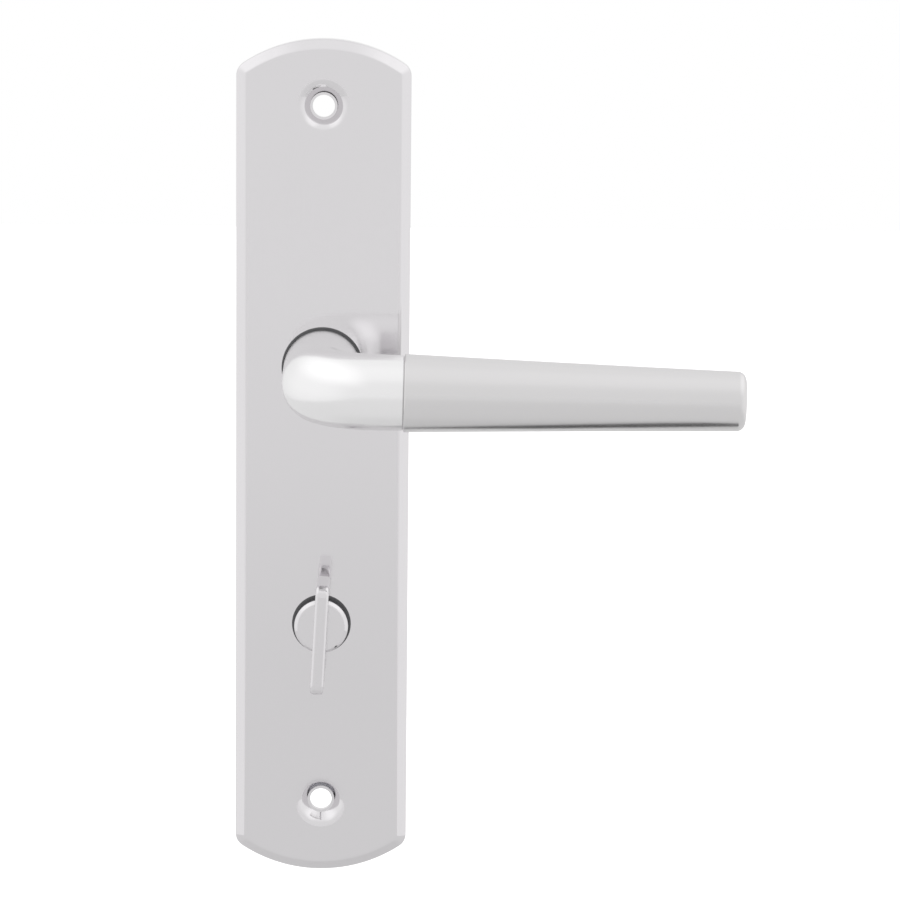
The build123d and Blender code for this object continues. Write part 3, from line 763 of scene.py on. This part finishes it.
class HANDLE_OT_neck(Operator):
    """Polished neck: a journal through the bush, a bent tube, and a square socket for the spindle"""

    bl_idname = "handle.neck"
    bl_label = "Neck"

    def execute(self, context):
        size = sizes()
        shoulder = -bush_low.y + size.running_gap
        bm = bmesh.new()
        verts = new_ring(bm, size.journal_radius, facing_hand(size.journal_end))
        cap(bm, verts)
        journal = journal_profile(size.journal_radius, size.groove_bite, shoulder, size.neck_radius)
        verts = turn_profile(bm, verts, journal)
        verts = self.bent_tube(bm, verts, shoulder + size.edge_break)
        cap(bm, verts)
        neck = start_piece(bm, "bright_neck")
        socket = size.spindle_across + 2 * size.running_gap
        socket_height = size.spindle_seat + size.running_gap
        cutter = keyed_cutter(
            size.journal_radius, size.journal_flats, size.flats_height, socket, socket_height, 0
        )
        hole = size.set_screw_radius + size.running_gap
        # The set screw's hole runs from below the neck into the square socket
        inside = -size.spindle_across / 4
        bore_cutter(cutter, hole, -size.neck_radius - hole, inside, size.set_screw_height)
        combine(neck, cutter, "DIFFERENCE")
        finish_piece(neck, bright_nickel(), "lever", ["lever_neck"])
        return {"FINISHED"}

    def bent_tube(self, bm, verts, start):
        """Takes the ring up the foot, round the bend and out to the joint, ever thinner."""
        size = sizes()
        bend_start = size.arm_height - size.elbow_radius
        along_arm = arm_frame(0).to_3x3() @ Vector((1, 0, 0))
        centre = Vector((0, -bend_start, 0)) + size.elbow_radius * along_arm
        hinge = Vector((0, -1, 0)).cross(along_arm)
        rise = (bend_start - start) / FOOT_STEPS
        run = size.joint_reach - size.elbow_radius
        turned = Matrix.Rotation(pi / 2 / BEND_STEPS, 4, hinge)
        bend = Matrix.Translation(centre) @ turned @ Matrix.Translation(-centre)
        moves = [(Matrix.Translation((0, -rise, 0)), rise)] * FOOT_STEPS
        moves += [(bend, size.elbow_radius * pi / 2 / BEND_STEPS)] * BEND_STEPS
        moves += [(Matrix.Translation((run - size.joint_chamfer) * along_arm), run)]
        whole = sum(distance for move, distance in moves)
        thinning = (size.neck_joint_radius / size.neck_radius - 1) / whole
        gone = 0
        for move, distance in moves:
            before = 1 + thinning * gone
            gone += distance
            verts = carry_ring(bm, verts, move, (1 + thinning * gone) / before)
        inner = 1 - size.joint_chamfer / size.neck_joint_radius
        return carry_ring(bm, verts, Matrix.Translation(size.joint_chamfer * along_arm), inner)


def through_three(first, middle, last, along):
    """A smooth size along the grip, through its root, its middle and its tip."""
    bend = 2 * (first - 2 * middle + last)
    return first + (last - first - bend) * along + bend * along * along


class HANDLE_OT_grip(Operator):
    """Brushed grip: round at the joint, flattening to an oval at its rounded tip"""

    bl_idname = "handle.grip"
    bl_label = "Grip"

    def execute(self, context):
        size = sizes()
        start, end = size.joint_reach + size.running_gap, size.tip_reach
        chamfer, tip_round = size.joint_chamfer, size.grip_tip_round
        straight = end - tip_round - start - chamfer
        # Reach of each ring, and how far it is drawn in from the grip's own section
        stations = [(start, chamfer), (start + chamfer, 0)]
        for step in range(1, GRIP_STEPS + 1):
            stations.append((start + chamfer + straight * step / GRIP_STEPS, 0))
        for step in range(1, TIP_STEPS + 1):
            turn = pi / 2 * step / TIP_STEPS
            stations.append((end - tip_round + tip_round * sin(turn), tip_round - tip_round * cos(turn)))
        bm = bmesh.new()
        upright = Matrix.Rotation(pi / 2, 4, "Y")
        verts = new_ring(bm, 1, arm_frame(start) @ upright)
        reach, depth, height = start, 1, 1
        for place, inset in stations:
            along = (place - start) / (end - start)
            new_height = through_three(
                size.grip_root_radius, size.grip_middle_height / 2, size.grip_tip_height / 2, along
            ) - inset
            new_depth = through_three(
                size.grip_root_radius, size.grip_middle_depth / 2, size.grip_tip_depth / 2, along
            ) - inset
            if place > start:
                verts = carry_ring(bm, verts, arm_frame(place) @ arm_frame(reach).inverted())
            grow = (1, new_depth / depth, new_height / height)
            bmesh.ops.scale(bm, vec=grow, space=arm_frame(place).inverted(), verts=verts)
            if place == start:
                cap(bm, verts)
            reach, depth, height = place, new_depth, new_height
        cap(bm, verts)
        grip = start_piece(bm, "brushed_grip")
        finish_piece(grip, brushed_nickel(), "lever", ["lever_grip"])
        return {"FINISHED"}


# Thumb-turn


def level_edges(bm, height):
    """The edges that run straight across the wing at a height."""
    return [
        edge
        for edge in bm.edges
        if all(abs(vert.co.y + height) < LEVEL_WITHIN for vert in edge.verts)
        and abs(edge.verts[0].co.z - edge.verts[1].co.z) < LEVEL_WITHIN
    ]


def soften(bm, edges, reach, steps):
    """Rounds edges by a reach."""
    bmesh.ops.bevel(
        bm, geom=edges, offset=reach, offset_type="OFFSET", segments=steps, profile=0.5,
        affect="EDGES", material=-1,
    )


def wing_shape():
    """The wing: drawn in its side view, thickened, with rounded corners and edges."""
    size = sizes()
    boss_bottom = -turn_bush_low.y + size.running_gap
    half, front = size.wing_length / 2, -turn_low.y
    rear = boss_bottom + size.turn_boss_height + size.wing_flare
    root_half = size.turn_boss_radius - size.turn_boss_chamfer
    root = boss_bottom + size.turn_boss_height / 2
    one_side = [(root_half, root), (half, rear), (half, front)]
    outline = [*one_side, *((-along, height) for along, height in reversed(one_side))]
    thickness = size.wing_thickness
    bm = bmesh.new()
    flank = bm.faces.new([bm.verts.new((-thickness / 2, -height, along)) for along, height in outline])
    grown = bmesh.ops.extrude_face_region(bm, geom=[flank], use_keep_orig=True)["geom"]
    bmesh.ops.translate(bm, vec=(thickness, 0, 0), verts=only_verts(grown))
    bmesh.ops.recalc_face_normals(bm, faces=bm.faces)
    shoulder_turn = atan2(half - root_half, rear - root)
    corners = ((rear, size.wing_rear_round * tan(shoulder_turn / 2)), (front, size.wing_front_round))
    for height, reach in corners:
        soften(bm, level_edges(bm, height), reach, WING_CORNER_STEPS)
    flanks = sorted(bm.faces, key=lambda face: face.calc_area())[-2:]
    rims = list(dict.fromkeys(edge for face in flanks for edge in face.edges))
    soften(bm, rims, size.wing_edge_round, WING_EDGE_STEPS)
    lean = Matrix.Translation((0, 0, -turn_drop)) @ Matrix.Rotation(size.wing_lean, 4, "Y")
    bmesh.ops.transform(bm, matrix=lean, verts=bm.verts)
    return bm


class HANDLE_OT_thumb_turn(Operator):
    """Thumb-turn: a thin leaning wing on a round boss with a bevelled rim, and a keyed shank"""

    bl_idname = "handle.thumb_turn"
    bl_label = "Thumb-turn"

    def execute(self, context):
        size = sizes()
        shank, boss, chamfer, edge = (
            size.turn_shank_radius, size.turn_boss_radius, size.turn_boss_chamfer, size.edge_break
        )
        bottom = -turn_bush_low.y + size.running_gap
        top = bottom + size.turn_boss_height
        bm = bmesh.new()
        verts = new_ring(bm, shank, facing_hand(size.journal_end, turn_drop))
        cap(bm, verts)
        journal = journal_profile(shank, size.turn_groove_bite, bottom, boss)
        lower = rounded((boss, bottom), (boss, top - chamfer), (boss - chamfer, top), edge, EDGE_STEPS)
        upper = rounded((boss, top - chamfer), (boss - chamfer, top), (0, top), edge, EDGE_STEPS)
        cap(bm, turn_profile(bm, verts, [*journal, *lower, *upper]))
        knob = start_piece(bm, "satin_thumb_turn")
        combine(knob, wing_shape(), "UNION")
        socket = size.turn_spindle_across + 2 * size.running_gap
        socket_height = top - size.turn_socket_wall
        cutter = keyed_cutter(
            shank, size.turn_shank_flats, size.turn_flats_height, socket, socket_height, turn_drop
        )
        pin_reach = boss + size.turn_pin_radius
        pin_hole = size.turn_pin_radius + size.running_gap
        bore_cutter(cutter, pin_hole, -turn_drop - pin_reach, -turn_drop + pin_reach, (bottom + top) / 2)
        combine(knob, cutter, "DIFFERENCE")
        finish_piece(knob, satin_nickel(), "turn", ["turn_knob"])
        return {"FINISHED"}


# Works behind the plate


class HANDLE_OT_works(Operator):
    """Finishes of the steel pieces behind the plate and inside the lever"""

    bl_idname = "handle.works"
    bl_label = "Works"

    def execute(self, context):
        plated = (
            "support_plate", "spring_cup", "cup_rivets", "stop_washer", "turn_washer", "turn_cam",
            "spring_driver",
        )
        dress(plated, zinc_plate())
        dress(("lever_spindle", "turn_spindle", "turn_pin", "grip_stud"), drawn_steel())
        dress(("return_spring", "detent_spring", "lever_ring", "turn_ring"), spring_steel())
        dress(("set_screw",), black_oxide())
        return {"FINISHED"}


# Stage


def floor_material():
    """Floor that reads white to the camera, with painted shade: its grey is darker under the handle, where
    shadow falls, and paler the farther it lies from the handle.
    """
    look = studio()
    material, tree, shader = new_material("pale_floor")
    shader.inputs["Roughness"].default_value = MATT
    place = add_node(tree, "ShaderNodeTexCoord")
    away = add_node(tree, "ShaderNodeVectorMath", {1: (1, 1, 0)}, operation="MULTIPLY")
    reach = add_node(tree, "ShaderNodeVectorMath", operation="LENGTH")
    fade = add_node(tree, "ShaderNodeMapRange", {"From Max": look.floor_depth / 2})
    # Painted shade: a ramp of greys, darkest under the handle and paler farther out
    painted_shade = add_node(tree, "ShaderNodeValToRGB")
    stops = painted_shade.color_ramp.elements
    for along, grey in FLOOR_PAINTED_SHADE[1:-1]:
        stops.new(along)
    for stop, (along, grey) in zip(stops, FLOOR_PAINTED_SHADE):
        stop.position = along
        stop.color = (grey, grey, grey, 1)
    rays = add_node(tree, "ShaderNodeLightPath")
    lift = add_node(tree, "ShaderNodeMath", {1: look.floor_lift}, operation="MULTIPLY")
    glow = add_node(tree, "ShaderNodeEmission")
    both = add_node(tree, "ShaderNodeAddShader")
    wire(
        tree,
        (place, "Object", away, 0),
        (away, "Vector", reach, 0),
        (reach, "Value", fade, "Value"),
        (fade, "Result", painted_shade, "Fac"),
        (painted_shade, "Color", shader, "Base Color"),
        (rays, "Is Camera Ray", lift, 0),
        (lift, "Value", glow, "Strength"),
        (shader, "BSDF", both, 0),
        (glow, "Emission", both, 1),
        (both, "Shader", tree.nodes["Material Output"], "Surface"),
    )
    return material


def card_material():
    """Dark matt card that only shows to rays that meet it nearly square on."""
    material = surface(
        "dark_card", studio().card_colour, roughness=MATT,
        stretch=(40, 40, 40), spread=0, depth=0, clouds=(4, 0), metallic=0,
    )
    tree = material.node_tree
    slant = add_node(tree, "ShaderNodeLayerWeight")
    shallow = add_node(tree, "ShaderNodeMath", {1: CARD_SLANT}, operation="GREATER_THAN")
    clear = add_node(tree, "ShaderNodeBsdfTransparent")
    mixed = add_node(tree, "ShaderNodeMixShader")
    wire(
        tree,
        (slant, "Facing", shallow, 0),
        (shallow, "Value", mixed, "Fac"),
        (tree.nodes["Principled BSDF"], "BSDF", mixed, 1),
        (clear, "BSDF", mixed, 2),
        (mixed, "Shader", tree.nodes["Material Output"], "Surface"),
    )
    return material


def sky_ramp(tree, reach, start, end):
    """A smooth change of brightness from start to end over a reach."""
    names = ("From Min", "From Max", "To Min", "To Max")
    values = dict(zip(names, (*reach, start, end)))
    return add_node(tree, "ShaderNodeMapRange", values, interpolation_type="SMOOTHSTEP")


def studio_world():
    """White to the camera; for the rest a soft studio, brighter overhead, aside and in its upper corners."""
    look = studio()
    world = bpy.data.worlds.new("soft_studio")
    world.use_nodes = True
    tree = world.node_tree
    background = tree.nodes["Background"]
    place = add_node(tree, "ShaderNodeTexCoord")
    parts = add_node(tree, "ShaderNodeSeparateXYZ")
    lower = sky_ramp(tree, SKY_LOWER, look.sky_down, look.sky_level)
    upper = sky_ramp(tree, SKY_UPPER, 0, look.sky_up - look.sky_level)
    across = add_node(tree, "ShaderNodeMath", operation="ABSOLUTE")
    aside = sky_ramp(tree, SKY_ASIDE, 0, look.sky_aside)
    outward = sky_ramp(tree, SKY_CORNER_ACROSS, 0, 1)
    upward = sky_ramp(tree, SKY_CORNER_UP, 0, look.sky_corner)
    corner = add_node(tree, "ShaderNodeMath", operation="MULTIPLY_ADD")
    level = add_node(tree, "ShaderNodeMath", operation="ADD")
    total = add_node(tree, "ShaderNodeMath", operation="ADD")
    rays = add_node(tree, "ShaderNodeLightPath")
    seen = add_node(tree, "ShaderNodeMath", operation="MAXIMUM")
    wire(
        tree,
        (place, "Generated", parts, "Vector"),
        (parts, "Z", lower, "Value"),
        (parts, "Z", upper, "Value"),
        (parts, "X", across, 0),
        (across, "Value", aside, "Value"),
        (across, "Value", outward, "Value"),
        (parts, "Z", upward, "Value"),
        (outward, "Result", corner, 0),
        (upward, "Result", corner, 1),
        (aside, "Result", corner, 2),
        (lower, "Result", level, 0),
        (upper, "Result", level, 1),
        (level, "Value", total, 0),
        (corner, "Value", total, 1),
        (rays, "Is Camera Ray", seen, 0),
        (total, "Value", seen, 1),
        (seen, "Value", background, "Strength"),
    )
    background.inputs["Color"].default_value = (1, 1, 1, 1)
    return world


class HANDLE_OT_stage(Operator):
    """Pale floor, dark card under the grip, soft light and the camera"""

    bl_idname = "handle.stage"
    bl_label = "Stage"

    def execute(self, context):
        scene = context.scene
        scene.view_settings.view_transform = "Standard"
        scene.world = studio_world()
        look = studio()
        under = Matrix.Translation((0, 0, plate_low.z - look.floor_gap))
        self.sheet("floor", under, look.floor_width, look.floor_depth, floor_material())
        beside = Matrix.Translation((look.card_x, -look.card_forward, -look.card_drop))
        beside = beside @ Matrix.Rotation(look.card_turn, 4, "Z")
        card = self.sheet("dark_card", beside, look.card_length, look.card_breadth, card_material())
        card.visible_camera = False
        self.soft_lamp()
        scene.camera = self.camera()
        return {"FINISHED"}

    def sheet(self, name, placed, width, depth, material):
        """A flat sheet of the stage."""
        bm = bmesh.new()
        sized = placed @ Matrix.Diagonal((width, depth, 1, 1))
        bmesh.ops.create_grid(bm, x_segments=1, y_segments=1, size=0.5, matrix=sized)
        mesh = bpy.data.meshes.new(name)
        bm.to_mesh(mesh)
        bm.free()
        mesh.materials.append(material)
        sheet = new_object(name, mesh)
        return sheet

    def soft_lamp(self):
        """One broad lamp overhead, in front of the plate."""
        look = studio()
        data = bpy.data.lights.new("soft_overhead", "AREA")
        data.shape = "SQUARE"
        data.size = look.key_size
        data.energy = look.key_power
        lamp = new_object("soft_overhead", data)
        lamp.location = Vector((look.target_x, -look.key_size / 2, look.key_size))
        aim = Vector((look.target_x, 0, 0)) - lamp.location
        lamp.rotation_euler = aim.to_track_quat("-Z", "Y").to_euler()

    def camera(self):
        """Camera at the photograph's angle."""
        look = studio()
        data = bpy.data.cameras.new("camera")
        data.lens = look.lens
        data.sensor_width = SENSOR_WIDTH
        data.clip_start = CLIP_NEAR
        data.clip_end = CLIP_FAR
        camera = new_object("camera", data)
        turn, lift = look.azimuth, look.elevation
        forward = Vector((sin(turn) * cos(lift), cos(turn) * cos(lift), -sin(lift)))
        right = Vector((cos(turn), -sin(turn), 0))
        up = right.cross(forward)
        rolled_right = cos(look.roll) * right + sin(look.roll) * up
        rolled_up = cos(look.roll) * up - sin(look.roll) * right
        axes = Matrix((rolled_right, rolled_up, -forward)).transposed().to_4x4()
        target = Vector((look.target_x, 0, look.target_z))
        camera.matrix_world = Matrix.Translation(target - forward * look.distance) @ axes
        return camera


OPERATORS = (
    HANDLE_OT_backplate,
    HANDLE_OT_bushes,
    HANDLE_OT_neck,
    HANDLE_OT_grip,
    HANDLE_OT_thumb_turn,
    HANDLE_OT_works,
    HANDLE_OT_stage,
)


class HANDLE_PT_panel(Panel):
    """Lists the handle's pieces and its stage"""

    bl_idname = "HANDLE_PT_panel"
    bl_label = "Bathroom door handle"
    bl_space_type = "VIEW_3D"
    bl_region_type = "UI"
    bl_category = "Handle"

    def draw(self, context):
        for operator in OPERATORS:
            self.layout.operator(operator.bl_idname)


CLASSES = (HandleSizes, HandleFinishes, StudioSettings, *OPERATORS, HANDLE_PT_panel)


def register():
    """Registers the classes and hangs their settings on the scene."""
    for item in CLASSES:
        bpy.utils.register_class(item)
    bpy.types.Scene.handle_sizes = PointerProperty(type=HandleSizes)
    bpy.types.Scene.handle_finishes = PointerProperty(type=HandleFinishes)
    bpy.types.Scene.handle_studio = PointerProperty(type=StudioSettings)


def unregister():
    """Takes the classes and settings away again."""
    del bpy.types.Scene.handle_studio
    del bpy.types.Scene.handle_finishes
    del bpy.types.Scene.handle_sizes
    for item in reversed(CLASSES):
        bpy.utils.unregister_class(item)


def main():
    """Builds every piece and the stage."""
    register()
    bpy.ops.handle.backplate()
    bpy.ops.handle.bushes()
    bpy.ops.handle.neck()
    bpy.ops.handle.grip()
    bpy.ops.handle.thumb_turn()
    bpy.ops.handle.works()
    bpy.ops.handle.stage()


if __name__ == "__main__":
    main()
